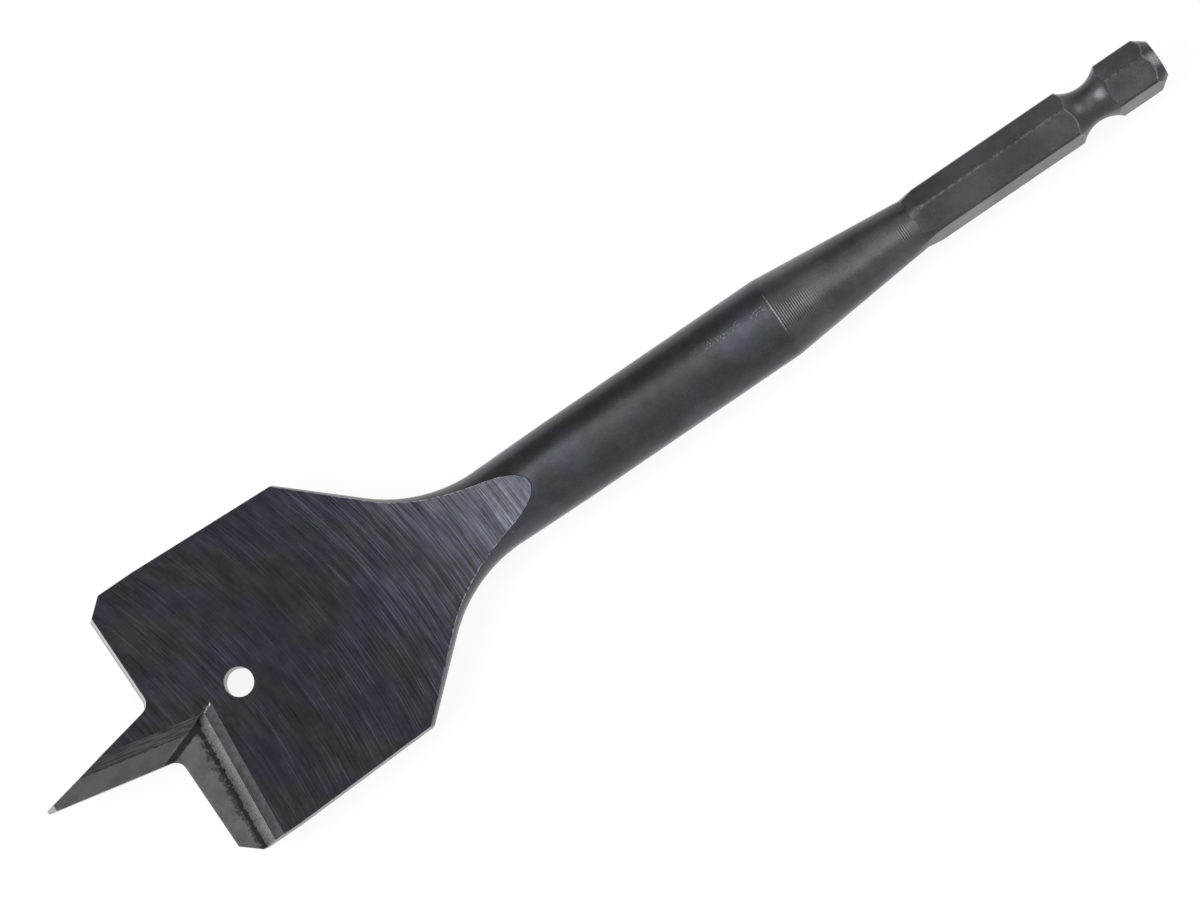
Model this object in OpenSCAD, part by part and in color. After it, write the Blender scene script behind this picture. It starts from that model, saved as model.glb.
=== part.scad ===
// Spade drill bit, forged, turned and ground from one steel bar.
// It lies flat: +X runs from the centre point to the shank, +Z is up, and the
// shaft's lowest line is on z = 0. Lengths along the bit count from the tip.

/* [Overall] */
// Length from the tip of the centre point to the end of the shank
overall_length = 159; // [140:1:220]

/* [Blade] */
// Width across the outer corners, which is the size of the bored hole
blade_width = 36; // [30:0.5:40]
// Thickness between the flat part of the ground faces
blade_thickness = 3.2; // [2.6:0.1:3.8]
// Length from the cutting lips to the shoulder corners
blade_length = 27.25; // [24:0.05:34]
// Length from the lips over which the sides run parallel
land_length = 7.7; // [4:0.1:12]
// Angle by which each side draws in behind the parallel land
side_relief = 2.3; // [0.5:0.1:4]
// Angle between the shoulders and the axis
shoulder_angle = 42; // [36:1:50]
// Plan radius that blends each shoulder into the neck
flare_radius = 18.4; // [12:0.2:22]
// Diameter of the hole for hanging or for a pull wire
hole_d = 3.6; // [2:0.1:5]
// Distance from the lips to the centre of the hole
hole_setback = 10.95; // [10:0.05:15]

/* [Face grinding] */
// Radius of the wheel that runs each ground face out onto the shaft
grind_radius = 104; // [90:1:130]
// Distance from the start of the climb to the shoulder corners
grind_lead = 1.8; // [0:0.1:4]
// Angle of the grinding stroke away from square across the blade
grind_skew = 6; // [0:0.5:10]

/* [Centre point] */
// Length of the point in front of the lips
point_length = 16.55; // [12:0.05:20]
// Angle between each edge of the point and the axis
point_angle = 12; // [9:0.5:14]
// Width of the blunt tip
tip_width = 0.3; // [0.2:0.05:0.6]
// Corner radius between the point and a lip
notch_radius = 1.5; // [0.4:0.1:1.8]
// Width of the flat that is ground beside each leading edge of the point
point_flat_width = 2.5; // [2.2:0.05:3.2]
// Depth of that flat below the blade face
point_flat_depth = 0.72; // [0.4:0.02:0.9]
// Steepness of the wall between that flat and the blade face
point_wall_angle = 25; // [18:1:40]

/* [Cutting lips] */
// Chamfer on each outer corner, measured square to the side
corner_chamfer = 1.9; // [1:0.1:3]
// Chamfer on each outer corner, measured along the side
corner_chamfer_length = 2.1; // [1:0.1:3]
// Relief angle of the faces under the lips and the point's edges
lip_relief = 14; // [6:0.5:16]
// Rake angle of the gullet floor behind each lip
lip_rake = 8; // [2:0.5:12]
// Distance from a lip to the bottom line of its gullet, at mid lip
gullet_setback = 3.25; // [3:0.05:4.5]
// Depth of the gullet's bottom line below the blade face
gullet_depth = 1.37; // [1:0.01:1.5]
// Steepness of the lower wall of the gullet
gullet_wall_angle = 38; // [30:1:45]
// Width of that wall, seen from above
gullet_wall_run = 1.4; // [0.8:0.05:1.5]
// Steepness of the shallow upper wall of the gullet
gullet_ramp_angle = 12; // [8:1:25]
// Angle of the gullet away from square across the blade
gullet_skew = 4.5; // [0:0.5:8]
// Angle in plan between the gullet's inner end and the axis
gullet_end_angle = 20; // [15:1:30]
// Draft of the gullet's inner end
gullet_end_draft = 10; // [5:1:45]

/* [Shaft] */
// Diameter of the round shaft
shaft_d = 10.5; // [9:0.1:11.5]
// Amount by which the forged neck is slimmer than the shaft
neck_relief = 0.3; // [0.1:0.05:0.6]
// Length over which the neck swells to the shaft's diameter
neck_run = 9.6; // [6:0.1:12]
// Length of the turned taper
taper_length = 19.7; // [14:0.1:24]
// Amount by which the end of the taper is thicker than the hexagon across its flats
taper_end_rise = 0.21; // [0.15:0.01:0.5]

/* [Hex shank] */
// Size across the flats, a quarter inch
hex_across_flats = 6.35; // [6.2:0.05:6.4]
// Amount that wear has taken off the hexagon across its corners
corner_wear = 0.23; // [0.1:0.01:0.35]
// Length over which the hexagon's corners rise out of the taper
corner_rise_length = 2; // [0.5:0.1:3]
// Length of the hexagon
shank_length = 34.9; // [28:0.1:40]
// Angle of a flat away from the plane of the blade
hex_turn = 16; // [0:1:60]
// Distance from the shank's end to the middle of the chuck groove
groove_setback = 9.75; // [9:0.05:12]
// Diameter at the bottom of the chuck groove
groove_d = 4.75; // [4.3:0.05:5.2]
// Section radius of the chuck groove
groove_radius = 4.1; // [3:0.1:5]
// Length of the chamfer on the shank's end
end_chamfer_length = 1.5; // [1:0.1:2]
// Diameter of the shank's end face
end_face_d = 4.9; // [4.2:0.1:5.6]

/* [Hidden] */
$fn = 96;

// Extra length that carries a cutting tool clear of the steel
clear = 3;
// Steps of the small arcs in the outlines
arc_steps = 8;
// Depth by which the wheel bites under the flat face, so that the two grinds cross
wheel_bite = 0.01;
// Angle by which the shoulder trim sweeps on past the neck
over_sweep = 6;
// Length of the blade's root inside the neck, and the hairline step round it
neck_lap = 0.5;
neck_step = 0.02;
// Share of the neck's radius that the forged plate takes up before grinding
plate_share = 0.99;

blade_half = blade_width / 2;
face_z = blade_thickness / 2;
shaft_r = shaft_d / 2;
taper_end_r = (hex_across_flats + taper_end_rise) / 2;
hex_corner_r = (hex_across_flats / cos(30) - corner_wear) / 2;
neck_r = shaft_r - neck_relief / 2;
plate_z = plate_share * neck_r;
// Half width of the plate's flat crown, which the shoulder trim leaves alone
crown_y = sqrt(neck_r * neck_r - plate_z * plate_z) + neck_step;

// Stations along the axis
lip_x = point_length;
land_x = lip_x + land_length;
shoulder_x = lip_x + blade_length;
hole_x = lip_x + hole_setback;
hex_x = overall_length - shank_length;
taper_x = hex_x - taper_length;
groove_x = overall_length - groove_setback;

// Plan of the shoulders: a straight flank, then an arc that ends on the neck
flare_centre_y = flare_radius + neck_r;
flare_end_y = flare_centre_y - flare_radius * cos(shoulder_angle);
flank_end_x = shoulder_x + (side_y(shoulder_x) - flare_end_y) / tan(shoulder_angle);
neck_x = flank_end_x + flare_radius * sin(shoulder_angle);
root_x = neck_x + neck_lap;
flank_length = (side_y(shoulder_x) - flare_end_y) / sin(shoulder_angle);

// Gullet section: heights of its bottom line, of the wall's top and of the lip
gullet_z = face_z - gullet_depth;
gullet_wall_z = gullet_z + gullet_wall_run * tan(gullet_wall_angle);
gullet_ramp_run = (face_z - gullet_wall_z) / tan(gullet_ramp_angle);
gullet_run = gullet_wall_run + gullet_ramp_run;
lip_z = gullet_z + gullet_setback * tan(lip_rake);
lip_mid_y = (blade_half + edge_y(lip_x)) / 2;
// Place on the axis, and on the blade face, where the gullet's outline comes to a point
gullet_axis_x = lip_x + gullet_setback + lip_mid_y * tan(gullet_skew);
gullet_apex_x = gullet_axis_x + gullet_run / cos(gullet_skew);

// Half width of the blade at a distance from the tip
function side_y(x) = blade_half - max(0, x - land_x) * tan(side_relief);

// Half width of the centre point at a distance from the tip
function edge_y(x) = tip_width / 2 + x * tan(point_angle);

// Places a body of revolution along the bit, with its height as distance from the tip
module along_axis() {
    rotate([0, 90, 0])
        children();
}

// Does the same on both sides of the axis of rotation, top and underside
module both_ways() {
    children();
    rotate([180, 0, 0])
        children();
}

// Section of what trims the shoulders: it leaves an edge as round as the neck
module edge_trim_section() {
    difference() {
        translate([0, -plate_z - clear])
            square([flare_centre_y, 2 * (plate_z + clear)]);
        translate([flare_centre_y, 0])
            circle(r = neck_r);
        translate([flare_centre_y - crown_y, -2 * neck_r])
            square([2 * crown_y, 4 * neck_r]);
    }
}

// Carries the trim section round the flare and straight out along the flank
module shoulder_trim() {
    translate([neck_x, flare_centre_y, 0])
        rotate([0, 0, -90 - shoulder_angle]) {
            rotate_extrude(angle = shoulder_angle + over_sweep)
                edge_trim_section();
            rotate([90, 0, 0])
                linear_extrude(height = flank_length + blade_half)
                    edge_trim_section();
        }
}

// Flat forged end of the bar with both faces ground, before its shoulders are trimmed
module ground_plate() {
    difference() {
        linear_extrude(height = 2 * plate_z, center = true)
            polygon([
                [0, -blade_half],
                [land_x, -blade_half],
                [root_x, -side_y(root_x)],
                [root_x, side_y(root_x)],
                [land_x, blade_half],
                [0, blade_half]
            ]);
        both_ways()
            face_grind();
    }
}

// Blade and shoulders, ending on the neck's own section
module shouldered_blade() {
    difference() {
        ground_plate();
        shoulder_trim();
        mirror([0, 1, 0])
            shoulder_trim();
    }
}

// Neck, shaft and turned taper, which runs on inside the hexagon
module turned_shaft() {
    taper_slope = (shaft_r - taper_end_r) / taper_length;
    inner_r = hex_across_flats / 2 - taper_slope;
    inner_x = taper_x + (shaft_r - inner_r) / taper_slope;
    along_axis()
        rotate_extrude()
            polygon([
                [0, neck_x],
                [neck_r + neck_step, neck_x],
                [shaft_r, neck_x + neck_run],
                [shaft_r, taper_x],
                [inner_r, inner_x],
                [0, inner_x]
            ]);
}

// Shaft with the two tongues that the face grinding leaves on it
module ground_shaft() {
    difference() {
        turned_shaft();
        both_ways()
            face_grind();
    }
}

// Hexagon with worn corners that rise out of the taper, an end chamfer and the chuck groove
module hex_shank() {
    difference() {
        intersection() {
            rotate([hex_turn, 0, 0])
                along_axis()
                    rotate([0, 0, 30])
                        translate([0, 0, hex_x - clear])
                            cylinder(d = hex_across_flats / cos(30), h = shank_length + 2 * clear, $fn = 6);
            along_axis()
                rotate_extrude()
                    polygon([
                        [0, hex_x],
                        [taper_end_r, hex_x],
                        [hex_corner_r, hex_x + corner_rise_length],
                        [hex_corner_r, overall_length - end_chamfer_length],
                        [end_face_d / 2, overall_length],
                        [0, overall_length]
                    ]);
        }
        along_axis()
            rotate_extrude()
                translate([groove_d / 2 + groove_radius, groove_x])
                    circle(r = groove_radius);
    }
}

// Grinds one face: flat over the blade, then climbing in a wide arc out onto the shaft
module face_grind() {
    reach = blade_half + clear;
    depth = shaft_r + clear;
    translate([shoulder_x - grind_lead, 0, face_z])
        rotate([0, 0, grind_skew]) {
            translate([-overall_length, -2 * reach, 0])
                cube([overall_length, 4 * reach, depth]);
            translate([0, 0, grind_radius - wheel_bite])
                rotate([90, 0, 0])
                    cylinder(r = grind_radius, h = 4 * reach, center = true, $fn = 720);
        }
}

// Plan of what is ground away beside the point, in front of one lip and off its outer corner
module lip_outline() {
    arc_x = lip_x - notch_radius;
    arc_y = -edge_y(arc_x) - notch_radius / cos(point_angle);
    outer_y = blade_half + clear;
    chamfer_slope = corner_chamfer_length / corner_chamfer;
    polygon(concat(
        [[-clear, -edge_y(-clear)]],
        [
            for (step = [0 : arc_steps])
                let (turn = (90 - point_angle) * (1 - step / arc_steps))
                    [arc_x + notch_radius * cos(turn), arc_y + notch_radius * sin(turn)]
        ],
        [
            [lip_x, corner_chamfer - blade_half],
            [lip_x + (corner_chamfer + clear) * chamfer_slope, -outer_y],
            [-clear, -outer_y]
        ]
    ));
}

// Grinds one lip and its side of the point, leaning back under the edge for relief
module lip_grind() {
    translate([lip_x, 0, lip_z])
        rotate([0, -lip_relief, 0])
            translate([-lip_x, 0, 0])
                linear_extrude(height = 4 * shaft_r, center = true)
                    lip_outline();
}

// Space outside the drafted plane that ends the gullet, moved outwards by an amount
module beyond_gullet_end(shift) {
    size = 4 * blade_half;
    translate([gullet_apex_x, 0, face_z])
        rotate([0, 0, gullet_end_angle])
            rotate([gullet_end_draft, 0, 0])
                translate([-size / 2, -size - shift, -size / 2])
                    cube(size);
}

// Gullet behind one lip: raked floor, steep wall and shallow ramp up to the face
module gullet() {
    reach = lip_x + gullet_setback;
    top_z = face_z + clear;
    intersection() {
        translate([gullet_axis_x + clear * tan(gullet_skew), clear, 0])
            rotate([0, 0, -gullet_skew])
                rotate([90, 0, 0])
                    linear_extrude(height = 2 * blade_half)
                        polygon([
                            [0, gullet_z],
                            [gullet_wall_run, gullet_wall_z],
                            [gullet_wall_run + (top_z - gullet_wall_z) / tan(gullet_ramp_angle), top_z],
                            [-reach, top_z + reach * tan(lip_rake)],
                            [-reach, gullet_z + reach * tan(lip_rake)]
                        ]);
        beyond_gullet_end(0);
    }
}

// Flat along the leading edge of the point, with a sloping wall up to the face
module point_flat() {
    top_z = point_flat_depth + clear;
    difference() {
        translate([lip_x, -edge_y(lip_x), face_z - point_flat_depth])
            rotate([0, 0, -point_angle])
                rotate([90, 0, -90])
                    linear_extrude(height = 4 * point_length, center = true)
                        polygon([
                            [clear, 0],
                            [-point_flat_width, 0],
                            [-point_flat_width - top_z / tan(point_wall_angle), top_z],
                            [clear, top_z]
                        ]);
        beyond_gullet_end(gullet_wall_run / 2);
    }
}

// The whole bit about its own axis
module bit_on_axis() {
    difference() {
        union() {
            shouldered_blade();
            ground_shaft();
            hex_shank();
        }
        both_ways() {
            lip_grind();
            gullet();
            point_flat();
        }
        translate([hole_x, 0, 0])
            cylinder(d = hole_d, h = 4 * shaft_r, center = true);
    }
}

module spade_bit() {
    color([0.2, 0.21, 0.23])
        translate([-overall_length / 2, 0, shaft_r])
            bit_on_axis();
}

spade_bit();
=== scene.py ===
import math

import bpy
import numpy as np
from mathutils import Matrix, Vector


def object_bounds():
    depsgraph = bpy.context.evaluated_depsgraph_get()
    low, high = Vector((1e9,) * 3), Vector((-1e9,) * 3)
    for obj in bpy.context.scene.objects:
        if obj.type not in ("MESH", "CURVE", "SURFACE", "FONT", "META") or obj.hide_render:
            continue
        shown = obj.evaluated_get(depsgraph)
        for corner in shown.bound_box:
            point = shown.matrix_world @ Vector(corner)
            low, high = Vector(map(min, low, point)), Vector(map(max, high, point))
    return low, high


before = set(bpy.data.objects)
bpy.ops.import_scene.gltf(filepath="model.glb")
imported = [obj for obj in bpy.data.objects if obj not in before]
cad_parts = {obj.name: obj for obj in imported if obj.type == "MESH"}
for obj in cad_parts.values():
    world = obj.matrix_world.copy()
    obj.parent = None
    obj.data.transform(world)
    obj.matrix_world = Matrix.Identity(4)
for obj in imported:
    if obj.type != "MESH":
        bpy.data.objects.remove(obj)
cadLow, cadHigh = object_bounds()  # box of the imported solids, in metres
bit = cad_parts["spade_bit"]
mm = 0.001  # metres in a millimetre
print("frame loaded, length in mm:", round((cadHigh.x - cadLow.x) / mm, 2))

# Where the bit's surfaces lie, in mm: distances run from the tip along the axis, heights from the axis
bitSizes = {
    "faceHeight": 1.6,        # ground faces of the blade, above and below the axis
    "climbStart": 42.0,       # the ground faces start to climb here
    "climbRadius": 104.0,     # radius of the wheel that climbs onto the shaft
    "onFace": 0.045,          # how near to that surface a point counts as on it
    "sunkDepth": 0.012,       # how far under it a point counts as in a gullet
    "strokeSkew": 6.0,        # degrees by which the grinding stroke leans from square
    "strokeRadius": 74.0,     # the lines that it leaves are bowed
    "bowMiddle": 0.5,         # where along a line the bow starts to turn back
    "lipZoneEnd": 27.0,       # behind every face of the lips, gullets and point
    "reliefEnd": 19.2,        # behind the relief faces under the lips and the corner chamfers
    "bladeEnd": 71.0,         # behind the end of the ground tongue
    "gulletStart": 20.65,     # bottom line of the gullet, where it would cross the axis
    "gulletSkew": 4.5,        # degrees by which that line leans from square
    "gulletApex": 23.36,      # where the inner end of the gullet crosses the axis
    "gulletEndAngle": 20.0,   # degrees between that end and the axis
    "flatStart": 11.32,       # inner line of the point's flat, where it crosses the axis
    "pointAngle": 12.0,       # degrees between that line and the axis
    "taperStart": 104.4,
    "hexStart": 124.1,
    "hexBlend": 1.5,          # to each side of that, where the taper's finish passes into the hexagon's
    "hexHalf": 3.175,         # from the axis to the hexagon's flats
    "ridgeAngle": 16.0,       # degrees from level to the first ridge of the hexagon
    "ridgeRadius": 3.55,
    "grooveMiddle": 149.25,   # chuck groove
    "grooveRadius": 4.1,      # radius of its section
    "grooveCentre": 6.475,    # from the axis to the centre of that radius
    "chamferStart": 157.5,    # chamfer on the shank's end, at the ridges
    "chamferSlope": 1.362,    # mm along the axis for each mm that it falls
}


# Node tree helpers
def feed(tree, socket, value):  # links a socket, or sets the socket's own value
    if isinstance(value, bpy.types.NodeSocket):
        tree.links.new(value, socket)
    else:
        socket.default_value = value


def addNode(tree, kind, inputs=None, **settings):
    node = tree.nodes.new(kind)
    for name, value in settings.items():
        setattr(node, name, value)
    for name, value in (inputs or {}).items():
        feed(tree, node.inputs[name], value)
    return node


def calc(tree, operation, *values):  # one Math node
    node = addNode(tree, "ShaderNodeMath", operation=operation)
    for socket, value in zip(node.inputs, values):
        feed(tree, socket, value)
    return node.outputs[0]


def fold(tree, operation, values):  # one Math node after another
    total = values[0]
    for value in values[1:]:
        total = calc(tree, operation, total, value)
    return total


def times(tree, *values):  # product of all values
    return fold(tree, "MULTIPLY", values)


def most(tree, *values):  # the largest of all values
    return fold(tree, "MAXIMUM", values)


def over(tree, value, limit):  # 1 above the limit
    return calc(tree, "GREATER_THAN", value, limit)


def under(tree, value, limit):  # 1 below the limit
    return calc(tree, "LESS_THAN", value, limit)


def near(tree, value, centre, reach):  # 1 within reach of the centre
    return calc(tree, "COMPARE", value, centre, reach)


def ramp(tree, value, start, end, low=0.0, high=1.0):  # smooth step from low to high between start and end
    node = addNode(
        tree, "ShaderNodeMapRange",
        {"Value": value, "From Min": start, "From Max": end, "To Min": low, "To Max": high},
        interpolation_type="SMOOTHSTEP",
    )
    return node.outputs["Result"]


def band(tree, value, centre, halfWidth, softness):  # 1 inside a band round the centre, fading at its sides
    away = calc(tree, "ABSOLUTE", calc(tree, "SUBTRACT", value, centre))
    return ramp(tree, away, halfWidth, halfWidth + softness, 1.0, 0.0)


def blendColour(tree, factor, first, second):
    node = addNode(tree, "ShaderNodeMix", data_type="RGBA")
    for index, value in ((0, factor), (6, first), (7, second)):
        feed(tree, node.inputs[index], value)
    return node.outputs[2]


def blendValue(tree, factor, first, second):
    node = addNode(tree, "ShaderNodeMix", data_type="FLOAT")
    for index, value in ((0, factor), (2, first), (3, second)):
        feed(tree, node.inputs[index], value)
    return node.outputs[0]


def tone(tree, colour, factor):  # a colour made lighter or darker
    return addNode(tree, "ShaderNodeVectorMath", {0: colour, "Scale": factor}, operation="SCALE").outputs[0]


def cloud(tree, place, perMm, detail):  # noise with a number of blots to the millimetre
    node = addNode(tree, "ShaderNodeTexNoise", {"Vector": place, "Scale": perMm, "Detail": detail})
    return node.outputs["Fac"]


def noise(tree, x, y, z, detail=2.0):  # noise over three numbers
    place = addNode(tree, "ShaderNodeCombineXYZ", {"X": x, "Y": y, "Z": z})
    return cloud(tree, place.outputs[0], 1.0, detail)


def makeGroup(name, inputs, outputs):  # a group of plain numbers, apart from names that start with vector
    tree = bpy.data.node_groups.new(name, "ShaderNodeTree")
    for way, names in (("INPUT", inputs), ("OUTPUT", outputs)):
        for socketName in names:
            kind = "NodeSocketVector" if socketName.startswith("vector") else "NodeSocketFloat"
            tree.interface.new_socket(socketName, in_out=way, socket_type=kind)
    enter = tree.nodes.new("NodeGroupInput")
    leave = tree.nodes.new("NodeGroupOutput")
    return tree, enter.outputs, leave.inputs


def useGroup(tree, group, known):  # feeds a group from what is known by name, and adds what it puts out
    node = addNode(tree, "ShaderNodeGroup", node_tree=group)
    for socket in node.inputs:
        feed(tree, socket, known[socket.name])
    known.update({socket.name: socket for socket in node.outputs})


# Place on the bit in mm. The underside is the top turned half round the axis, so both share one pattern
def makeBitSpace():
    tree, enter, leave = makeGroup(
        "bitSpace", ["vectorPlace", "vectorNormal"],
        ["along", "across", "height", "radius", "side", "facing", "lean"],
    )
    place = addNode(tree, "ShaderNodeSeparateXYZ", {"Vector": enter["vectorPlace"]}).outputs
    normal = addNode(tree, "ShaderNodeSeparateXYZ", {"Vector": enter["vectorNormal"]}).outputs
    rise = calc(tree, "SUBTRACT", place["Z"], (cadLow.z + cadHigh.z) / 2)
    side = calc(tree, "MULTIPLY_ADD", over(tree, rise, 0.0), 2.0, -1.0)  # 1 on top, -1 underneath
    across = times(tree, place["Y"], side, 1 / mm)
    height = calc(tree, "MULTIPLY", calc(tree, "ABSOLUTE", rise), 1 / mm)
    squares = calc(tree, "MULTIPLY_ADD", across, across, calc(tree, "MULTIPLY", height, height))
    feed(tree, leave["along"], calc(tree, "MULTIPLY", calc(tree, "SUBTRACT", place["X"], cadLow.x), 1 / mm))
    feed(tree, leave["across"], across)
    feed(tree, leave["height"], height)
    feed(tree, leave["radius"], calc(tree, "SQRT", squares))
    feed(tree, leave["side"], side)
    feed(tree, leave["facing"], calc(tree, "MULTIPLY", normal["Z"], side))
    feed(tree, leave["lean"], normal["X"])
    return tree


def turned(tree, along, across, start, degrees):  # distance ahead of a slanting line, and distance along it
    cos, sin = math.cos(math.radians(degrees)), math.sin(math.radians(degrees))
    ahead = calc(tree, "SUBTRACT", along, start)
    travel = calc(tree, "MULTIPLY_ADD", ahead, cos, calc(tree, "MULTIPLY", across, sin))
    sweep = calc(tree, "MULTIPLY_ADD", across, cos, calc(tree, "MULTIPLY", ahead, -sin))
    return travel, sweep


# The ground face: flat, then a circle of the wheel's radius. Ground is 1 where a point lies on that surface
def makeGroundFace():
    tree, enter, leave = makeGroup("groundFace", ["along", "across", "height"], ["ground", "travel", "sweep"])
    radius = bitSizes["climbRadius"]
    travel, sweep = turned(
        tree, enter["along"], enter["across"], bitSizes["climbStart"], bitSizes["strokeSkew"]
    )
    climb = calc(tree, "MAXIMUM", travel, 0.0)
    below = calc(tree, "SUBTRACT", radius ** 2, calc(tree, "MULTIPLY", climb, climb))
    surface = calc(tree, "SUBTRACT", bitSizes["faceHeight"] + radius, calc(tree, "SQRT", below))
    onSurface = near(tree, enter["height"], surface, bitSizes["onFace"])
    feed(tree, leave["ground"], times(tree, onSurface, under(tree, enter["along"], bitSizes["bladeEnd"])))
    feed(tree, leave["travel"], travel)
    feed(tree, leave["sweep"], sweep)
    return tree


strokeLook = {
    # Lines to the mm, their length in mm, a shift that keeps the kinds apart, and finer layers in them
    "kinds": {
        "fine": (6.5, 9.0, 0.0, 1.0),
        "middle": (3.0, 12.0, 20.0, 2.0),
        "broad": (0.22, 14.0, 40.0, 2.0),
        "blots": (0.7, 4.0, 80.0, 3.0),
        "scratch": (4.5, 9.0, 60.0, 1.0),
        "darkLine": (3.5, 8.0, 100.0, 1.0),
    },
    "cuts": {"scratch": (0.62, 0.69), "darkLine": (0.60, 0.67)},  # noise between which a thin line sets in
    "sideShift": 7.0,         # keeps the underside's lines apart from the top's
}


# Bowed lines that a grinding stroke leaves: noise squeezed across the stroke and drawn out along it
def makeStrokeLines():
    kinds = strokeLook["kinds"]
    tree, enter, leave = makeGroup("strokeLines", ["travel", "sweep", "side"], list(kinds))
    fromBow = calc(tree, "SUBTRACT", enter["sweep"], bitSizes["bowMiddle"])
    bow = times(tree, fromBow, fromBow, 0.5 / bitSizes["strokeRadius"])
    bowedTravel = calc(tree, "ADD", enter["travel"], bow)
    for name, (linesPerMm, lengthMm, shift, detail) in kinds.items():
        lines = noise(
            tree, calc(tree, "MULTIPLY", bowedTravel, linesPerMm),
            calc(tree, "DIVIDE", enter["sweep"], lengthMm),
            calc(tree, "MULTIPLY_ADD", enter["side"], strokeLook["sideShift"], shift), detail,
        )
        if name in strokeLook["cuts"]:
            lines = ramp(tree, lines, *strokeLook["cuts"][name])
        feed(tree, leave[name], lines)
    return tree


# Distances in plan from the gullet's bottom line, its inner end and the inner line of the point's flat
def makeGulletLines():
    tree, enter, leave = makeGroup("gulletLines", ["along", "across"], ["fromBottom", "fromEnd", "fromFlat"])
    plan = (enter["along"], enter["across"])
    bottom = turned(tree, *plan, bitSizes["gulletStart"], -bitSizes["gulletSkew"])
    end = turned(tree, *plan, bitSizes["gulletApex"], bitSizes["gulletEndAngle"])
    flat = turned(tree, *plan, bitSizes["flatStart"], -bitSizes["pointAngle"])
    feed(tree, leave["fromBottom"], bottom[0])
    feed(tree, leave["fromEnd"], end[1])
    feed(tree, leave["fromFlat"], flat[1])
    return tree


# Distances along the hexagon's flats from the rim of the chuck groove and from the end chamfer
def makeShankLines():
    tree, enter, leave = makeGroup("shankLines", ["along", "radius"], ["fromGroove", "fromChamfer"])
    away = calc(tree, "SUBTRACT", bitSizes["grooveCentre"], enter["radius"])
    below = calc(tree, "SUBTRACT", bitSizes["grooveRadius"] ** 2, calc(tree, "MULTIPLY", away, away))
    ahead = calc(tree, "SUBTRACT", bitSizes["grooveMiddle"], enter["along"])
    feed(tree, leave["fromGroove"], calc(tree, "SUBTRACT", ahead, calc(tree, "SQRT", below)))
    fall = calc(tree, "SUBTRACT", bitSizes["ridgeRadius"], enter["radius"])
    chamfer = calc(tree, "MULTIPLY_ADD", fall, bitSizes["chamferSlope"], bitSizes["chamferStart"])
    feed(tree, leave["fromChamfer"], calc(tree, "SUBTRACT", chamfer, enter["along"]))
    return tree


# In the dictionaries below, two numbers are where an effect starts and is full, and four add its strength
# at those two. Three numbers are the middle of a band, its half width and the fade beyond that
zoneLook = {
    # Blots to the mm, and finer layers in them
    "noises": {
        "spots": (1.6, 3.0),
        "grain": (6.5, 2.0),
        "patches": (0.55, 3.0),
        "clouds": (0.16, 2.0),
        "crumbs": (4.0, 4.0),
        "smears": (1.3, 2.0),
    },
    "upward": 0.5,            # the gullets' and point's faces face up more than this
    "relief": (0.26, 0.24),   # how far the relief faces under the lips face up, and the reach
}


# What the finish is placed by: distances on the bit, noises, and the zones of its surface
def findPlaces(tree):
    place = tree.nodes.new("ShaderNodeTexCoord").outputs["Object"]
    normal = tree.nodes.new("ShaderNodeNewGeometry").outputs["Normal"]
    at = {"vectorPlace": place, "vectorNormal": normal}
    for makePart in (makeBitSpace, makeGroundFace, makeStrokeLines, makeGulletLines, makeShankLines):
        useGroup(tree, makePart(), at)
    placeMm = tone(tree, place, 1 / mm)
    for name, (perMm, detail) in zoneLook["noises"].items():
        at[name] = cloud(tree, placeMm, perMm, detail)
    at["inFront"] = under(tree, at["along"], bitSizes["lipZoneEnd"])
    at["sunk"] = under(tree, at["height"], bitSizes["faceHeight"] - bitSizes["sunkDepth"])
    at["recess"] = times(tree, at["inFront"], at["sunk"], over(tree, at["facing"], zoneLook["upward"]))
    leansUnder = near(tree, at["facing"], *zoneLook["relief"])
    at["relief"] = times(tree, under(tree, at["along"], bitSizes["reliefEnd"]), leansUnder)
    blendStart = bitSizes["hexStart"] - bitSizes["hexBlend"]
    at["hexagon"] = ramp(tree, at["along"], blendStart, bitSizes["hexStart"] + bitSizes["hexBlend"])
    at["inGroove"] = under(tree, at["radius"], bitSizes["hexHalf"] - bitSizes["onFace"])
    return at


groundLook = {
    "dark": (0.0224, 0.0221, 0.0248, 1),     # between the lines
    "blue": (0.0210, 0.0219, 0.0280, 1),     # where the finish has a blue cast
    "light": (0.0525, 0.056, 0.072, 1),      # on the lines
    "castClouds": (0.40, 0.60),
    "fine": (0.46, 0.66),
    "fineShare": 0.72,
    "middle": (0.38, 0.66),
    "middleShare": 0.4,
    "broad": (0.32, 0.68, 0.40, 1.10),
    "denseAlong": (32.0, 56.0, 0.24, 1.12),  # few lines behind the lips, dense on the tongue
    "scratchAlong": (26.0, 44.0, 0.35, 0.8),
    "calmAlong": (37.0, 3.0, 6.0),           # a quiet stretch in the middle of the blade
    "calmAcross": (-9.0, 0.0),
    "calmLines": 0.5,                        # strength of the light lines there
    "calmDark": 0.35,                        # strength of the dark ones
    "darkTone": 0.68,
    "blots": (0.3, 0.7, 0.84, 1.20),
    # painted highlight: the ground faces made lighter towards the tongue's end, by mm from the tip
    "tongueHighlight": (58.0, 68.0, 1.0, 1.2),
}
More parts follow.
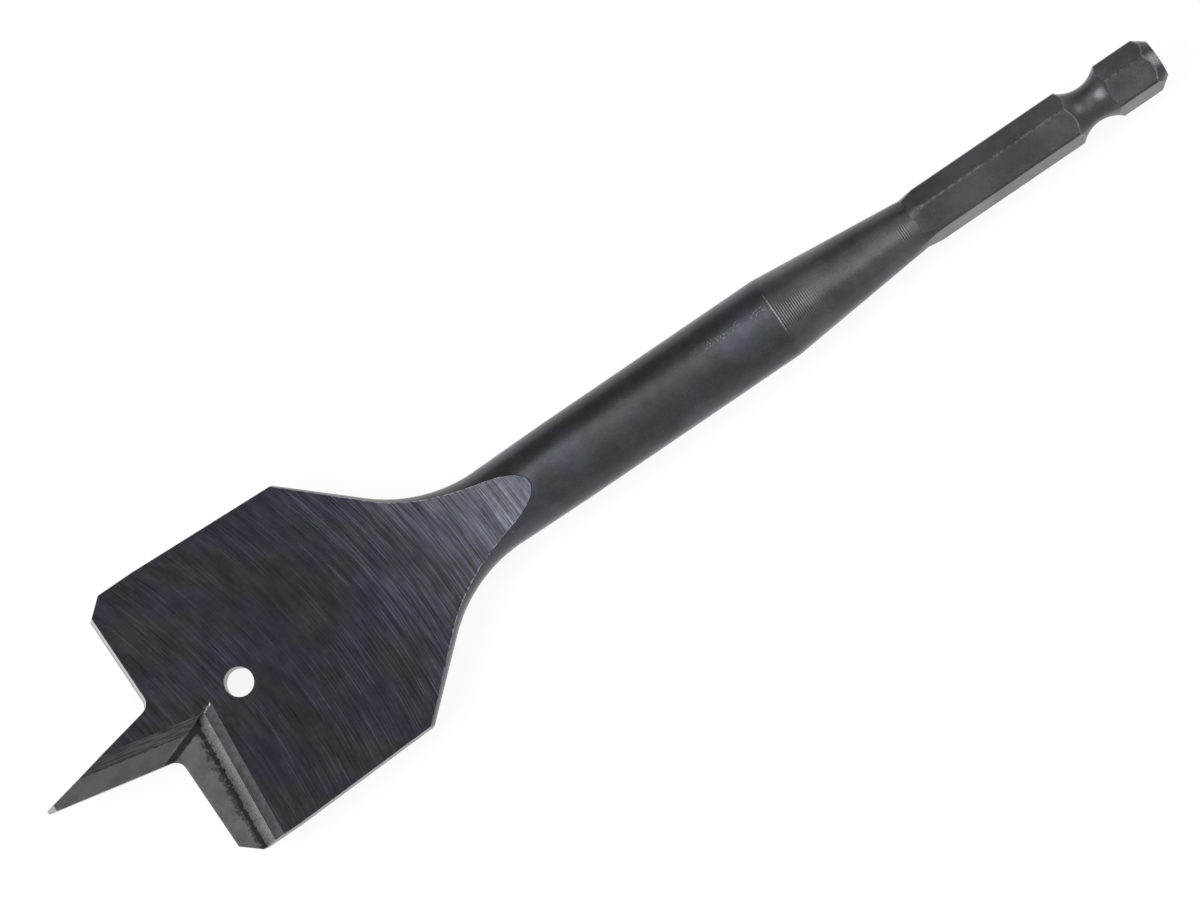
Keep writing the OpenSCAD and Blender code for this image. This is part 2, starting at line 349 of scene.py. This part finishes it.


# Ground faces: thin light and dark lines on cloudy black, with a painted highlight towards the tongue's end
def groundColour(tree, at):
    look = groundLook
    middle = calc(tree, "MULTIPLY", ramp(tree, at["middle"], *look["middle"]), look["middleShare"])
    lines = calc(tree, "MULTIPLY_ADD", ramp(tree, at["fine"], *look["fine"]), look["fineShare"], middle)
    dense = ramp(tree, at["along"], *look["denseAlong"])
    lines = times(tree, lines, ramp(tree, at["broad"], *look["broad"]), dense)
    scratches = times(tree, at["scratch"], ramp(tree, at["along"], *look["scratchAlong"]))
    inMiddle = band(tree, at["along"], *look["calmAlong"])
    calm = times(tree, inMiddle, ramp(tree, at["across"], *look["calmAcross"]))
    lightLines = times(tree, most(tree, lines, scratches), blendValue(tree, calm, 1.0, look["calmLines"]))
    darkLines = times(tree, at["darkLine"], blendValue(tree, calm, 1.0, look["calmDark"]))
    colour = blendColour(tree, ramp(tree, at["clouds"], *look["castClouds"]), look["dark"], look["blue"])
    colour = blendColour(tree, lightLines, colour, look["light"])
    # the tone holds random blots, the dark lines and a painted highlight towards the tongue's end
    faceTone = times(
        tree, ramp(tree, at["blots"], *look["blots"]), ramp(tree, at["along"], *look["tongueHighlight"]),
        blendValue(tree, darkLines, 1.0, look["darkTone"]),
    )
    return tone(tree, colour, faceTone)


barLook = {
    "shaft": (0.068, 0.070, 0.077, 1),
    "shaftBlue": (0.064, 0.068, 0.081, 1),   # where the finish has a blue cast
    "castClouds": (0.42, 0.60),
    "taper": (0.090, 0.092, 0.099, 1),
    "taperBlend": (-0.4, 0.6),               # mm from the taper's start
    "hexagon": (0.073, 0.0735, 0.0815, 1),
    "hexSteepSheen": (0.136, 0.137, 0.147, 1),   # painted reflection: the flats that stand up, made lighter as they would mirror the pale floor
    "standing": (0.5, 0.4),                  # such a flat faces up less than this
    "ringPitch": 0.29,                       # mm between the turned rings
    "ringEnd": 1.2,                          # mm past the hexagon's start
    "firstRings": (1.5, 7.0, 1.0, 0.1),      # mm past the taper's start
    "firstAcross": (-0.8, 1.2, 0.4),
    "lastRings": (-1.75, 0.5, 0.15),         # mm from the hexagon's start
    "lastAcross": (-0.7, 0.7, 0.35),
    "ringGrain": (0.3, 0.6, 0.4, 1.3),
    "ringTone": 0.65,
    "mottle": (0.35, 0.65, 0.80, 1.20),
    "cloudShare": 0.6,                       # share of broad clouds in the mottle, the rest is grain
    "patches": (0.3, 0.7, 0.92, 1.08),
    "speckGrain": (0.54, 0.66),              # light specks along the top of the shaft
    "speckPatches": (0.44, 0.58),
    "speckAlong": (98.5, 5.0, 1.0),
    "speckAcross": (1.35, 0.2, 0.5),
    "speck": (0.40, 0.40, 0.41, 1),
    "speckShare": 0.35,
}


# Rings that the turning tool leaves on the taper: a patch at its start and a few before the hexagon
def turnedRings(tree, at):
    look = barLook
    fromTaper = calc(tree, "SUBTRACT", at["along"], bitSizes["taperStart"])
    fromHexagon = calc(tree, "SUBTRACT", at["along"], bitSizes["hexStart"])
    firstAcross = band(tree, at["across"], *look["firstAcross"])
    lastAcross = band(tree, at["across"], *look["lastAcross"])
    firstRings = times(tree, ramp(tree, fromTaper, *look["firstRings"]), firstAcross)
    lastRings = times(tree, band(tree, fromHexagon, *look["lastRings"]), lastAcross)
    phase = calc(tree, "MULTIPLY", at["along"], 2 * math.pi / look["ringPitch"])
    return times(
        tree, calc(tree, "SINE", phase), most(tree, firstRings, lastRings),
        ramp(tree, at["grain"], *look["ringGrain"]),
        over(tree, fromTaper, 0.0), under(tree, fromHexagon, look["ringEnd"]),
    )


# Shaft, taper and hexagon: mottled, with the rings and a few specks, and a painted reflection on the
# hexagon's flats that stand up
def barColour(tree, at):
    look = barLook
    blend = blendValue(tree, look["cloudShare"], at["grain"], at["clouds"])
    mottle = calc(tree, "MULTIPLY_ADD", at["rings"], look["ringTone"], ramp(tree, blend, *look["mottle"]))
    mottle = times(tree, mottle, ramp(tree, at["patches"], *look["patches"]))
    cast = ramp(tree, at["clouds"], *look["castClouds"])
    fromTaper = calc(tree, "SUBTRACT", at["along"], bitSizes["taperStart"])
    standing = ramp(tree, calc(tree, "ABSOLUTE", at["facing"]), *look["standing"])
    colour = blendColour(tree, cast, look["shaft"], look["shaftBlue"])
    colour = blendColour(tree, ramp(tree, fromTaper, *look["taperBlend"]), colour, look["taper"])
    # painted reflection: the hexagon's flats that stand up get a lighter colour
    hexColour = blendColour(tree, standing, look["hexagon"], look["hexSteepSheen"])
    colour = tone(tree, blendColour(tree, at["hexagon"], colour, hexColour), mottle)
    specks = times(
        tree, ramp(tree, at["grain"], *look["speckGrain"]), ramp(tree, at["patches"], *look["speckPatches"]),
        band(tree, at["along"], *look["speckAlong"]), band(tree, at["across"], *look["speckAcross"]),
        at["side"], look["speckShare"],
    )
    return blendColour(tree, specks, colour, look["speck"])


recessLook = {
    # Faces by how far they face up: from this value, this grey. The greys are partly painted light and shade,
    # for how much light each face catches
    "greys": ((0.0, 0.02), (0.68, 0.23), (0.85, 0.062), (0.94, 0.025), (0.984, 0.057)),
    "greyBlue": 1.06,                        # how much bluer than grey they are
    "floor": (0.087, 0.087, 0.092, 1),       # raked floor behind the lips
    "floorLean": 0.07,                       # it leans back more than this
    "relief": (0.45, 0.45, 0.44, 1),         # ground under the lips, almost bare
    "wall": (0.79, 0.05),                    # how far each of these faces up, and the reach
    "ramp": (0.978, 0.004),
    "strip": (0.906, 0.02),
    "wallShade": (0.2, 1.45, 0.66, 1.18),     # painted shade: darker towards the gullet's bottom line, by mm from it
    "wallGrain": (0.35, 0.62, 0.72, 1.18),
    "rampShade": (1.4, 2.6, 0.85, 1.25),      # painted shade: darker towards the gullet's bottom line, by mm from it
    "stripTone": (0.32, 0.68, 0.72, 1.5),
    "streaksPerMm": 5.0,                     # streaks along the strip beside the point's flat
    "streakLength": 3.0,                     # mm
    "grainShare": 0.3,                       # share of grain in the blotches
    "blotchTone": (0.36, 0.64, 0.88, 1.12),
}


# Gullets and point: each ground face has its own grey, partly painted light and shade, and painted shade
# towards the gullet's bottom line
def recessColour(tree, at):
    look = recessLook
    greys = tree.nodes.new("ShaderNodeValToRGB")
    greys.color_ramp.interpolation = "CONSTANT"
    feed(tree, greys.inputs[0], at["facing"])
    while len(greys.color_ramp.elements) < len(look["greys"]):
        greys.color_ramp.elements.new(0.5)
    for element, (start, grey) in zip(greys.color_ramp.elements, look["greys"]):
        element.position = start
        element.color = (grey, grey, grey * look["greyBlue"], 1)
    colour = blendColour(tree, over(tree, at["lean"], look["floorLean"]), greys.outputs[0], look["floor"])
    streaks = noise(
        tree, calc(tree, "MULTIPLY", at["fromFlat"], look["streaksPerMm"]),
        calc(tree, "DIVIDE", at["along"], look["streakLength"]), 0.0,
    )
    wallGrain = ramp(tree, at["grain"], *look["wallGrain"])
    # painted shade: the wall and ramp darker towards the gullet's bottom line
    tones = {
        "wall": times(tree, ramp(tree, at["fromBottom"], *look["wallShade"]), wallGrain),
        "ramp": ramp(tree, at["fromBottom"], *look["rampShade"]),
        "strip": ramp(tree, streaks, *look["stripTone"]),
    }
    blotches = blendValue(tree, look["grainShare"], at["patches"], at["grain"])
    total = ramp(tree, blotches, *look["blotchTone"])
    for name, faceTone in tones.items():
        total = times(tree, total, blendValue(tree, near(tree, at["facing"], *look[name]), 1.0, faceTone))
    return tone(tree, colour, total)


cornerShadeLook = {
    "colour": (0.010, 0.010, 0.011, 1),
    "cover": 0.88,
    "roughness": 2.1,                        # how far the noise breaks up its edges
    "bottom": (-0.22, 0.10, 0.45),           # mm from the gullet's bottom line
    "bottomRough": 0.75,
    "bottomCut": (0.30, 0.85),
    "spread": (-0.45, 0.1, 1.1),             # stipple farther out on the floor
    "spreadCut": (0.5, 1.0),
    "spreadShare": 0.7,
    "outside": (-0.35, -0.1, 1.0, 0.0),      # mm from the gullet's inner end
    "end": (-0.38, 0.22, 0.4),
    "endRough": 0.3,
    "endCut": (0.35, 0.75),
    "beforeWall": (0.0, 0.7, 1.0, 0.0),      # mm from the bottom line
    "flatLine": (0.0, 0.05, 0.10),           # thin line beside the point's flat
    "flatSpots": (0.36, 0.52),
    "flatFromEnd": (0.1, 0.4),
    "flatShare": 0.7,
    "facing": 0.1,                           # it lies on faces that face up more than this
}


# Painted shade in the gullet's corners, broken up by noise, and a thin dark line of painted shade beside the
# point's flat
def cornerShadeMask(tree, at):
    look = cornerShadeLook
    ragged = calc(tree, "ADD", at["crumbs"], at["smears"])
    rough = calc(tree, "MULTIPLY_ADD", ragged, look["roughness"], -look["roughness"])
    bottom = band(tree, at["fromBottom"], *look["bottom"])
    bottom = ramp(tree, calc(tree, "MULTIPLY_ADD", rough, look["bottomRough"], bottom), *look["bottomCut"])
    spread = calc(tree, "ADD", rough, band(tree, at["fromBottom"], *look["spread"]))
    spread = times(tree, ramp(tree, spread, *look["spreadCut"]), look["spreadShare"])
    alongBottom = times(tree, most(tree, bottom, spread), ramp(tree, at["fromEnd"], *look["outside"]))
    end = calc(tree, "MULTIPLY_ADD", rough, look["endRough"], band(tree, at["fromEnd"], *look["end"]))
    beforeWall = ramp(tree, at["fromBottom"], *look["beforeWall"])
    alongEnd = times(tree, ramp(tree, end, *look["endCut"]), beforeWall)
    alongFlat = times(
        tree, band(tree, at["fromFlat"], *look["flatLine"]), ramp(tree, at["spots"], *look["flatSpots"]),
        ramp(tree, at["fromEnd"], *look["flatFromEnd"]), look["flatShare"],
    )
    return times(
        tree, most(tree, alongBottom, alongEnd, alongFlat), at["inFront"], at["sunk"],
        over(tree, at["facing"], look["facing"]), look["cover"],
    )


wearAndGlintLook = {
    "colour": (0.40, 0.40, 0.41, 1),
    "edgeReach": 0.14,                       # mm that wear spreads from an edge
    "edgeSamples": 8,
    "edgeSpots": (0.38, 0.62, 0.3, 1.2),
    "edgeCut": (0.06, 0.24),
    "bladeShare": (42.0, 56.0, 0.12, 0.45),  # on the blade's edges, by mm from the tip
    "lipShare": 0.10,
    "hexShare": 0.3,
    "ridge": (0.0, 0.05, 0.12),              # broken line on the hexagon's top ridge
    "ridgeSpots": (0.40, 0.60),
    "ridgeStart": 0.8,                       # mm past the hexagon's start
    "ridgeDepth": 0.12,                      # mm under the ridge where it ends
    "ridgeHeight": (2.6, 3.2, 0.0, 0.17),
    "flatLean": 0.05,
    "grooveRim": (0.05, 0.04, 0.10),
    "chamferRim": (0.06, 0.05, 0.12),
    "rimGrain": (0.35, 0.60, 0.10, 0.30),
    "apex": (-0.08, 0.08, 0.18),             # mm from the gullet's inner end, above its wall
    "apexStart": (0.5, 1.0),
    "apexGrain": (0.45, 0.60, 0.0, 0.4),
    "chamferGlintLean": (0.6, 0.15),              # painted highlight on the end chamfer: its lean and the reach
    "chamferGlintAcross": (-0.2, 0.2, 1.1),
    "chamferGlintGrain": (0.3, 0.6, 0.3, 0.9),
    "ring": (0.03, 0.07),                    # bright ring where the taper starts: half width and fade
    "ringFacing": (0.82, 0.93),
    "ringGrain": (0.35, 0.60, 0.15, 0.8),
    "bareTip": (0.24, 0.235, 0.23, 1),
    "bareTipLength": 1.25,                   # mm, less what the grain takes off
    "bareTipGrain": 0.5,
}


# Wear on the outer edges. Seen from inside the steel, an edge is where the surface closes in
def edgeWear(tree, at):
    look = wearAndGlintLook
    edges = addNode(
        tree, "ShaderNodeAmbientOcclusion", {"Distance": look["edgeReach"] * mm},
        samples=look["edgeSamples"], inside=True, only_local=True,
    )
    edge = calc(tree, "SUBTRACT", 1.0, edges.outputs["AO"])
    wear = ramp(tree, times(tree, edge, ramp(tree, at["spots"], *look["edgeSpots"])), *look["edgeCut"])
    bladeShare = ramp(tree, at["along"], *look["bladeShare"])
    share = blendValue(tree, at["inFront"], bladeShare, look["lipShare"])
    return times(tree, wear, blendValue(tree, at["hexagon"], share, look["hexShare"]))


# Wear on the shank: the hexagon's top ridge and the rims beside groove and chamfer, and a painted highlight
# on the end chamfer
def shankWearAndGlint(tree, at):
    look = wearAndGlintLook
    angle = calc(tree, "ARCTAN2", at["height"], at["across"])
    pastRidge = calc(tree, "SUBTRACT", angle, math.radians(bitSizes["ridgeAngle"]))
    fromRidge = times(tree, calc(tree, "PINGPONG", pastRidge, math.pi / 6), bitSizes["ridgeRadius"])
    ridge = times(
        tree, band(tree, fromRidge, *look["ridge"]), ramp(tree, at["spots"], *look["ridgeSpots"]),
        over(tree, at["along"], bitSizes["hexStart"] + look["ridgeStart"]),
        over(tree, at["radius"], bitSizes["ridgeRadius"] - look["ridgeDepth"]),
        ramp(tree, at["height"], *look["ridgeHeight"]),
    )
    grooveRim = band(tree, at["fromGroove"], *look["grooveRim"])
    chamferRim = band(tree, at["fromChamfer"], *look["chamferRim"])
    rims = times(
        tree, most(tree, grooveRim, chamferRim), ramp(tree, at["grain"], *look["rimGrain"]), at["hexagon"],
        near(tree, at["lean"], 0.0, look["flatLean"]), calc(tree, "SUBTRACT", 1.0, at["inGroove"]),
    )
    # painted highlight on the end chamfer
    chamfer = times(
        tree, near(tree, at["lean"], *look["chamferGlintLean"]), band(tree, at["across"], *look["chamferGlintAcross"]),
        over(tree, at["along"], bitSizes["chamferStart"]), ramp(tree, at["grain"], *look["chamferGlintGrain"]),
    )
    return most(tree, ridge, rims, chamfer)


# Wear at the top of the gullet's inner end, and the bright ring where the taper starts
def spotWear(tree, at):
    look = wearAndGlintLook
    apex = times(
        tree, band(tree, at["fromEnd"], *look["apex"]), ramp(tree, at["fromBottom"], *look["apexStart"]),
        ramp(tree, at["grain"], *look["apexGrain"]), at["inFront"], at["sunk"],
        under(tree, at["across"], 0.0),
    )
    ring = times(
        tree, band(tree, at["along"], bitSizes["taperStart"], *look["ring"]),
        ramp(tree, at["facing"], *look["ringFacing"]), ramp(tree, at["grain"], *look["ringGrain"]),
    )
    return most(tree, apex, ring)


def steelColour(tree, at):
    colour = blendColour(tree, at["ground"], barColour(tree, at), groundColour(tree, at))
    colour = blendColour(tree, at["recess"], colour, recessColour(tree, at))
    colour = blendColour(tree, at["relief"], colour, recessLook["relief"])
    # painted shade in the gullet's corners and beside the point's flat
    colour = blendColour(tree, cornerShadeMask(tree, at), colour, cornerShadeLook["colour"])
    # wear on the edges, shank and spots, with the painted highlight on the end chamfer
    wear = most(tree, edgeWear(tree, at), shankWearAndGlint(tree, at), spotWear(tree, at))
    colour = blendColour(tree, wear, colour, wearAndGlintLook["colour"])
    fromTip = calc(tree, "MULTIPLY_ADD", at["grain"], wearAndGlintLook["bareTipGrain"], at["along"])
    return blendColour(tree, under(tree, fromTip, wearAndGlintLook["bareTipLength"]), colour, wearAndGlintLook["bareTip"])


polishLook = {
    "face": 0.34,             # roughness of each zone
    "shaft": 0.31,
    "hexagon": 0.25,
    "groove": 0.38,
    "recess": 0.44,
    "spots": (0.3, 0.7, 0.9, 1.1),
    "lineDepth": 0.005,       # mm
    "scratchDepth": 0.5,      # shares of that
    "grainDepth": 0.3,
    "ringDepth": 0.25,
}


def steelRoughness(tree, at):
    look = polishLook
    shank = blendValue(tree, at["inGroove"], look["hexagon"], look["groove"])
    roughness = blendValue(tree, at["hexagon"], look["shaft"], shank)
    roughness = blendValue(tree, at["ground"], roughness, look["face"])
    roughness = blendValue(tree, at["recess"], roughness, look["recess"])
    return times(tree, roughness, ramp(tree, at["spots"], *look["spots"]))


# Height: stroke lines on the ground faces, turned rings on the taper, fine grain all over
def steelBumps(tree, at):
    look = polishLook
    strokes = calc(tree, "MULTIPLY_ADD", at["scratch"], look["scratchDepth"], at["fine"])
    height = calc(tree, "MULTIPLY_ADD", at["grain"], look["grainDepth"], times(tree, strokes, at["ground"]))
    height = calc(tree, "MULTIPLY_ADD", at["rings"], look["ringDepth"], height)
    bumps = {"Height": height, "Distance": look["lineDepth"] * mm, "Strength": 1.0}
    return addNode(tree, "ShaderNodeBump", bumps).outputs[0]


def makeBlackSteel():
    material = bpy.data.materials.new("blackSteel")
    material.use_nodes = True
    tree = material.node_tree
    tree.nodes.clear()
    at = findPlaces(tree)
    at["rings"] = turnedRings(tree, at)
    shader = addNode(tree, "ShaderNodeBsdfPrincipled", {
        "Metallic": 1.0,
        "Base Color": steelColour(tree, at),
        "Roughness": steelRoughness(tree, at),
        "Normal": steelBumps(tree, at),
    })
    output = tree.nodes.new("ShaderNodeOutputMaterial")
    tree.links.new(shader.outputs[0], output.inputs[0])
    return material


bit.data.materials[0] = makeBlackSteel()
print("steel made:", len(bit.data.polygons), "faces dressed")

# Floor: a pale sheet under the bit. Reflections see it white, the camera sees it white with a light shadow
floorLook = {
    "width": 4.0,             # metres
    "gap": 0.02,              # mm under the bit
    "colour": (0.92, 0.92, 0.92, 1),
    "whiteShare": 0.90,       # how far the sheet is lifted to white for the camera
    "shade": 0.30,            # what reflections see of its far side, beside the blade and shaft
    "shadeDepth": (0.030, 0.070),  # metres behind the bit where the shade starts and is full
    "shadeEnd": (0.072, 0.034),    # metres along the bit where it ends and is full
}


def blendShader(tree, factor, first, second):
    node = addNode(tree, "ShaderNodeMixShader", {0: factor})
    tree.links.new(first.outputs[0], node.inputs[1])
    tree.links.new(second.outputs[0], node.inputs[2])
    return node


def makePaleSheet():
    look = floorLook
    material = bpy.data.materials.new("paleSheet")
    material.use_nodes = True
    material.cycles.emission_sampling = "NONE"  # its white is for rays that meet it, it is not a lamp
    tree = material.node_tree
    tree.nodes.clear()
    path = tree.nodes.new("ShaderNodeLightPath").outputs
    seen = calc(tree, "MULTIPLY", path["Is Camera Ray"], look["whiteShare"])
    whiteness = most(tree, path["Is Glossy Ray"], path["Is Transmission Ray"], seen)
    place = tree.nodes.new("ShaderNodeTexCoord").outputs["Object"]
    spot = addNode(tree, "ShaderNodeSeparateXYZ", {"Vector": place}).outputs
    behind = ramp(tree, spot["Y"], *look["shadeDepth"])
    shaded = times(tree, behind, ramp(tree, spot["X"], *look["shadeEnd"]))
    mirrored = blendValue(tree, shaded, 1.0, look["shade"])
    strength = blendValue(tree, path["Is Camera Ray"], mirrored, 1.0)
    sheet = addNode(tree, "ShaderNodeBsdfDiffuse", {"Color": look["colour"]})
    white = addNode(tree, "ShaderNodeEmission", {"Color": (1, 1, 1, 1), "Strength": strength})
    clear = tree.nodes.new("ShaderNodeBsdfTransparent")  # from below, to show the bit's underside
    fromBelow = tree.nodes.new("ShaderNodeNewGeometry").outputs["Backfacing"]
    oneSided = blendShader(tree, fromBelow, blendShader(tree, whiteness, sheet, white), clear)
    output = tree.nodes.new("ShaderNodeOutputMaterial")
    tree.links.new(oneSided.outputs[0], output.inputs[0])
    return material


def makeFloor():  # a flat square
    corners = np.array([[-1, -1, 0], [1, -1, 0], [1, 1, 0], [-1, 1, 0]]) * floorLook["width"] / 2
    corners[:, 2] = cadLow.z - floorLook["gap"] * mm
    mesh = bpy.data.meshes.new("floorSheet")
    mesh.from_pydata(corners.tolist(), [], [(0, 1, 2, 3)])
    mesh.materials.append(makePaleSheet())
    floor = bpy.data.objects.new("floorSheet", mesh)
    bpy.context.scene.collection.objects.link(floor)


makeFloor()

# Studio light: a soft tent with one dark stretch, two panels overhead and one beyond each end
studio = {
    "tent": 0.75,
    "darkWay": (0.0, 1.0, 0.12),        # from the bit to the middle of the dark stretch
    "darkSpan": (0.70, 0.97),           # cosine of the angle from there where it starts and is full
    "darkDim": 0.55,                    # share of light missing in it
}
panels = {
    "strip": {
        "way": (0.10, 0.23, 0.97),      # from the bit to the panel
        "along": (-0.42, 0.91, 0.0),    # direction of its length
        "distance": 1.0,                # metres
        "size": (0.24, 1.2),            # metres
        "radiance": 1.5,
    },
    "tipPanel": {
        "way": (-0.58, 0.13, 0.80),
        "along": (0.0, 1.0, 0.0),
        "distance": 0.8,
        "size": (0.36, 0.5),
        "radiance": 7.0,
    },
    "shankPanel": {
        "way": (0.75, 0.10, 0.66),
        "along": (0.0, 1.0, 0.0),
        "distance": 0.9,
        "size": (0.26, 0.4),
        "radiance": 3.6,
    },
    "taperPanel": {
        "way": (0.29, -0.38, 1.0),
        "along": (0.0, 1.0, 0.0),
        "distance": 1.1,
        "size": (0.16, 0.36),
        "radiance": 1.7,
    },
}


def makePanel(name, look):
    width, length = look["size"]
    panel = bpy.data.lights.new(name, "AREA")
    panel.shape = "RECTANGLE"
    panel.size = width
    panel.size_y = length
    panel.energy = look["radiance"] * math.pi * width * length
    away = Vector(look["way"]).normalized()
    across = Vector(look["along"]).cross(away).normalized()
    lamp = bpy.data.objects.new(name, panel)
    lamp.visible_camera = False
    turn = Matrix((across, away.cross(across), away)).transposed().to_4x4()
    lamp.matrix_world = Matrix.Translation(away * look["distance"]) @ turn
    bpy.context.scene.collection.objects.link(lamp)


def makeTent():
    world = bpy.data.worlds.new("softTent")
    bpy.context.scene.world = world
    world.use_nodes = True
    tree = world.node_tree
    background = tree.nodes["Background"]
    way = tree.nodes.new("ShaderNodeTexCoord").outputs["Generated"]
    darkWay = Vector(studio["darkWay"]).normalized()
    dot = addNode(tree, "ShaderNodeVectorMath", {0: way, 1: darkWay}, operation="DOT_PRODUCT")
    dimmed = studio["tent"] * (1 - studio["darkDim"])
    light = ramp(tree, dot.outputs["Value"], *studio["darkSpan"], studio["tent"], dimmed)
    toCamera = tree.nodes.new("ShaderNodeLightPath").outputs["Is Camera Ray"]
    feed(tree, background.inputs["Strength"], blendValue(tree, toCamera, light, 1.0))
    background.inputs["Color"].default_value = (1, 1, 1, 1)


makeTent()
for panelName, panelLook in panels.items():
    makePanel(panelName, panelLook)
print("floor and studio light made")

# Camera: almost straight above, turned so that the bit runs from the lower left to the upper right
cameraLook = {
    "aim": (-1.22, -1.22, 5.25),      # mm, the point in the middle of the picture
    "lean": 6.2,                      # degrees from straight above, towards the lip that is nearer
    "turn": 34.27,                    # degrees by which the bit's axis is turned in the picture
    "pictureWidth": 142.35,           # mm across the picture at the bit
    "lens": 200.0,                    # mm, a long lens
    "sensor": 36.0,                   # mm
    "clipStart": 0.01,                # metres
}


def makeCamera():
    lean = math.radians(cameraLook["lean"])
    turn = math.radians(cameraLook["turn"])
    back = Vector((0, -math.sin(lean), math.cos(lean)))
    alongX = Vector((1, 0, 0))
    alongY = back.cross(alongX)
    right = math.cos(turn) * alongX - math.sin(turn) * alongY
    up = math.sin(turn) * alongX + math.cos(turn) * alongY
    distance = cameraLook["pictureWidth"] * mm * cameraLook["lens"] / cameraLook["sensor"]
    data = bpy.data.cameras.new("photoCamera")
    data.lens = cameraLook["lens"]
    data.sensor_width = cameraLook["sensor"]
    data.clip_start = cameraLook["clipStart"]
    camera = bpy.data.objects.new("photoCamera", data)
    stand = Matrix.Translation(Vector(cameraLook["aim"]) * mm + back * distance)
    camera.matrix_world = stand @ Matrix((right, up, back)).transposed().to_4x4()
    bpy.context.scene.collection.objects.link(camera)
    bpy.context.scene.camera = camera


makeCamera()
bpy.context.scene.view_settings.view_transform = "Standard"
print("camera set")
